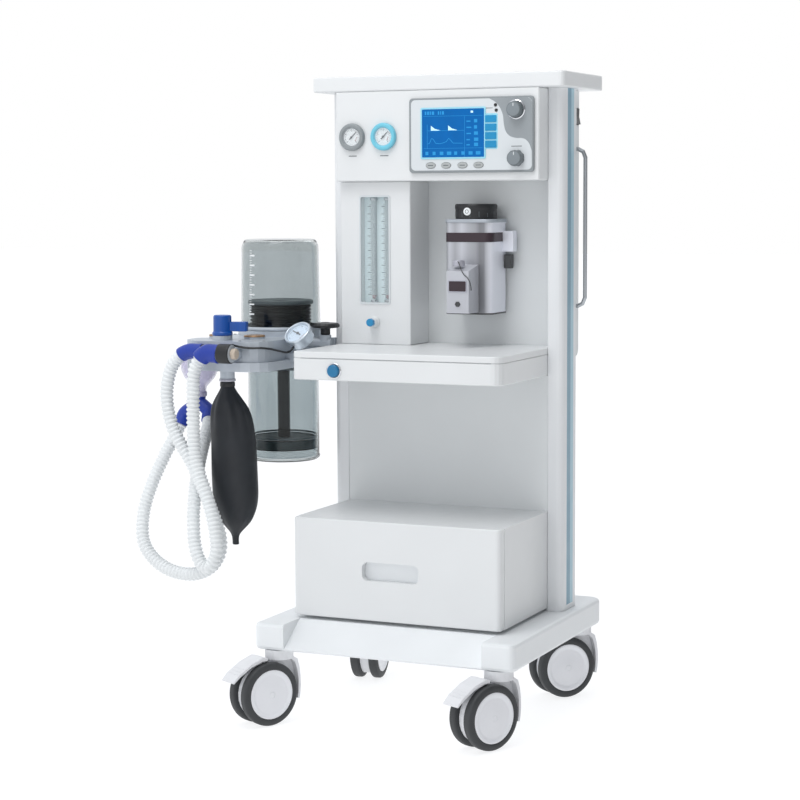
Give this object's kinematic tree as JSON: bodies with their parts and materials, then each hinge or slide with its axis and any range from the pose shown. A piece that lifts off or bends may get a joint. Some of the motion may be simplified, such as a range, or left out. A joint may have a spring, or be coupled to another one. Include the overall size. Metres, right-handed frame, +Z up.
{
  "type": "veterinary anesthesia machine",
  "caption": "Castored trolley with ventilator console, gauges, flowmeter, vaporizer, drawer, and a side absorber with bellows dome, canister, breathing hoses, bag and mask.",
  "frame": {"origin": "on the floor, at the bottom centre of the machine's bounding box with the breathing hoses left out", "axes": "+Z up, -Y out of the machine's front, +X to the right of someone facing the front"},
  "size_m": [0.8725, 0.6034, 1.267],
  "materials": {
    "white_moulding": "satin",
    "grey_plastic": "satin",
    "knob_grey": "satin",
    "black_plastic": "satin",
    "dark_grey": "satin",
    "cast_aluminium": "satin",
    "clear_plastic": "gloss",
    "cyan_plastic": "gloss",
    "cyan_ring": "satin",
    "blue_plastic": "gloss",
    "cuff_blue": "satin",
    "screen": "gloss",
    "float_red": "satin",
    "tyre_rubber": "matt",
    "bellows_rubber": "matt",
    "bag_rubber": "matt",
    "hose_white": "satin",
    "mask_violet": "gloss"
  },
  "bodies": {
    "trolley": {"base_tray": "white_moulding", "left_side_panel": "white_moulding", "right_side_panel": "white_moulding", "column_core": "white_moulding", "rear_housing": "white_moulding", "top_plate": "white_moulding", "push_handle": "cast_aluminium", "shelf_body": "white_moulding", "worktop": "white_moulding", "drawer_cabinet": "white_moulding", "console_housing": "white_moulding", "ventilator_bezel": "grey_plastic", "display_screen": "screen", "oxygen_gauge": "grey_plastic", "pipeline_gauge": "cyan_ring", "flowmeter_housing": "white_moulding", "flow_tube_block": "clear_plastic", "vaporizer_body": "cast_aluminium", "absorber_body": "cast_aluminium", "bellows_dome": "clear_plastic", "bellows": "bellows_rubber", "absorbent_canister": "clear_plastic", "airway_gauge": "cast_aluminium", "breathing_bag": "bag_rubber", "sampling_tube": "black_plastic", "front_hose": "hose_white", "back_hose": "hose_white", "y_piece": "cuff_blue", "face_mask": "mask_violet"},
    "front_left_castor": {"front_left_fork": "grey_plastic"},
    "front_left_rollers": {"front_left_wheels": "tyre_rubber"},
    "front_left_brake": {"front_left_brake_pedal": "grey_plastic"},
    "front_right_castor": {"front_right_fork": "grey_plastic"},
    "front_right_rollers": {"front_right_wheels": "tyre_rubber"},
    "front_right_brake": {"front_right_brake_pedal": "grey_plastic"},
    "rear_left_castor": {"rear_left_fork": "grey_plastic"},
    "rear_left_rollers": {"rear_left_wheels": "tyre_rubber"},
    "rear_right_castor": {"rear_right_fork": "grey_plastic"},
    "rear_right_rollers": {"rear_right_wheels": "tyre_rubber"},
    "drawer": {"drawer": "white_moulding"},
    "flush_button": {"oxygen_flush_button": "cyan_plastic"},
    "flow_knob": {"flow_control_knob": "cyan_plastic"},
    "oxygen_float": {"oxygen_float": "float_red"},
    "nitrous_float": {"nitrous_float": "float_red"},
    "vaporizer_dial": {"vaporizer_dial": "black_plastic"},
    "filler_cap": {"filler_cap": "cast_aluminium"},
    "vaporizer_lock": {"vaporizer_lock": "dark_grey"},
    "power_switch": {"power_switch": "black_plastic"},
    "mode_knob": {"mode_knob": "knob_grey"},
    "adjust_knob": {"adjust_knob": "knob_grey"},
    "function_button_1": {"function_button_1": "grey_plastic"},
    "function_button_2": {"function_button_2": "grey_plastic"},
    "function_button_3": {"function_button_3": "grey_plastic"},
    "function_button_4": {"function_button_4": "grey_plastic"},
    "oxygen_needle": {"oxygen_needle": "black_plastic"},
    "pipeline_needle": {"pipeline_needle": "black_plastic"},
    "airway_needle": {"airway_needle": "black_plastic"},
    "selector_lever": {"selector_lever": "blue_plastic"},
    "relief_knob": {"relief_valve_knob": "black_plastic"},
    "bellows_top": {"bellows_disc": "grey_plastic"}
  },
  "joints": [
    {"name": "front_left_swivel", "type": "hinge", "parent": "trolley", "child": "front_left_castor", "pos_m": [-0.11601, -0.18406, 0.135], "axis": [0, 0, 1], "continuous": true},
    {"name": "front_left_roll", "type": "hinge", "parent": "front_left_castor", "child": "front_left_rollers", "pos_m": [-0.13402, -0.21752, 0.06226], "axis": [0.8805, -0.4741, 0], "continuous": true},
    {"name": "front_left_brake_press", "type": "hinge", "parent": "front_left_castor", "child": "front_left_brake", "pos_m": [-0.13782, -0.22456, 0.13], "axis": [0.8805, -0.4741, 0], "range_deg": [0, 10]},
    {"name": "front_right_swivel", "type": "hinge", "parent": "trolley", "child": "front_right_castor", "pos_m": [0.34799, -0.18406, 0.135], "axis": [0, 0, 1], "continuous": true},
    {"name": "front_right_roll", "type": "hinge", "parent": "front_right_castor", "child": "front_right_rollers", "pos_m": [0.33115, -0.21812, 0.06226], "axis": [0.8965, -0.4431, 0], "continuous": true},
    {"name": "front_right_brake_press", "type": "hinge", "parent": "front_right_castor", "child": "front_right_brake", "pos_m": [0.32761, -0.2253, 0.13], "axis": [0.8965, -0.4431, 0], "range_deg": [0, 10]},
    {"name": "rear_left_swivel", "type": "hinge", "parent": "trolley", "child": "rear_left_castor", "pos_m": [-0.11601, 0.25994, 0.135], "axis": [0, 0, 1], "continuous": true},
    {"name": "rear_left_roll", "type": "hinge", "parent": "rear_left_castor", "child": "rear_left_rollers", "pos_m": [-0.10941, 0.22252, 0.06226], "axis": [0.9848, 0.1736, 0], "continuous": true},
    {"name": "rear_right_swivel", "type": "hinge", "parent": "trolley", "child": "rear_right_castor", "pos_m": [0.34799, 0.25994, 0.135], "axis": [0, 0, 1], "continuous": true},
    {"name": "rear_right_roll", "type": "hinge", "parent": "rear_right_castor", "child": "rear_right_rollers", "pos_m": [0.32266, 0.23161, 0.06226], "axis": [0.7455, -0.6665, 0], "continuous": true},
    {"name": "drawer_slide", "type": "slide", "parent": "trolley", "child": "drawer", "axis": [0, -1, 0], "range_m": [0, 0.18]},
    {"name": "flush_press", "type": "slide", "parent": "trolley", "child": "flush_button", "axis": [0, 1, 0], "range_m": [0, 0.004], "stiffness_N_per_m": 400, "springref_m": -0.002},
    {"name": "flow_knob_turn", "type": "hinge", "parent": "trolley", "child": "flow_knob", "pos_m": [-0.02701, 0.07794, 0.773], "axis": [0, 1, 0], "range_deg": [0, 720]},
    {"name": "oxygen_float_rise", "type": "slide", "parent": "trolley", "child": "oxygen_float", "axis": [0, 0, 1], "range_m": [0, 0.18]},
    {"name": "nitrous_float_rise", "type": "slide", "parent": "trolley", "child": "nitrous_float", "axis": [0, 0, 1], "range_m": [0, 0.18]},
    {"name": "vaporizer_dial_turn", "type": "hinge", "parent": "trolley", "child": "vaporizer_dial", "pos_m": [0.17899, 0.12094, 0.981], "axis": [0, 0, 1], "range_deg": [0, 270]},
    {"name": "filler_cap_turn", "type": "hinge", "parent": "trolley", "child": "filler_cap", "pos_m": [0.17099, 0.04894, 0.89], "axis": [0, 0, 1], "range_deg": [0, 360]},
    {"name": "vaporizer_lock_turn", "type": "hinge", "parent": "trolley", "child": "vaporizer_lock", "pos_m": [0.22799, 0.15594, 0.896], "axis": [1, 0, 0], "range_deg": [0, 90]},
    {"name": "power_switch_rock", "type": "hinge", "parent": "trolley", "child": "power_switch", "pos_m": [0.35599, 0.21974, 1.184], "axis": [0, 1, 0], "range_deg": [0, 10]},
    {"name": "mode_knob_turn", "type": "hinge", "parent": "trolley", "child": "mode_knob", "pos_m": [0.28999, 0.05494, 1.194], "axis": [0, 1, 0], "range_deg": [-150, 150]},
    {"name": "adjust_knob_turn", "type": "hinge", "parent": "trolley", "child": "adjust_knob", "pos_m": [0.29099, 0.05494, 1.1], "axis": [0, 1, 0], "continuous": true},
    {"name": "function_button_1_press", "type": "slide", "parent": "trolley", "child": "function_button_1", "axis": [0, 1, 0], "range_m": [0, 0.0015], "stiffness_N_per_m": 300, "springref_m": -0.001},
    {"name": "function_button_2_press", "type": "slide", "parent": "trolley", "child": "function_button_2", "axis": [0, 1, 0], "range_m": [0, 0.0015], "stiffness_N_per_m": 300, "springref_m": -0.001},
    {"name": "function_button_3_press", "type": "slide", "parent": "trolley", "child": "function_button_3", "axis": [0, 1, 0], "range_m": [0, 0.0015], "stiffness_N_per_m": 300, "springref_m": -0.001},
    {"name": "function_button_4_press", "type": "slide", "parent": "trolley", "child": "function_button_4", "axis": [0, 1, 0], "range_m": [0, 0.0015], "stiffness_N_per_m": 300, "springref_m": -0.001},
    {"name": "oxygen_needle_turn", "type": "hinge", "parent": "trolley", "child": "oxygen_needle", "pos_m": [-0.06551, 0.05794, 1.146], "axis": [0, 1, 0], "range_deg": [-180, 90]},
    {"name": "pipeline_needle_turn", "type": "hinge", "parent": "trolley", "child": "pipeline_needle", "pos_m": [0.00449, 0.05794, 1.146], "axis": [0, 1, 0], "range_deg": [-180, 90]},
    {"name": "airway_needle_turn", "type": "hinge", "parent": "trolley", "child": "airway_needle", "pos_m": [-0.14356, -0.03624, 0.75406], "axis": [0.1658, 0.675, -0.7189], "range_deg": [-65, 205]},
    {"name": "selector_turn", "type": "hinge", "parent": "trolley", "child": "selector_lever", "pos_m": [-0.28001, -0.10106, 0.751], "axis": [0, 0, 1], "range_deg": [0, 90]},
    {"name": "relief_knob_turn", "type": "hinge", "parent": "trolley", "child": "relief_knob", "pos_m": [-0.13301, 0.06694, 0.745], "axis": [0, 0, 1], "range_deg": [0, 270]},
    {"name": "bellows_rise", "type": "slide", "parent": "trolley", "child": "bellows_top", "axis": [0, 0, 1], "range_m": [0, 0.11], "deforming": ["bellows"]}
  ]
}
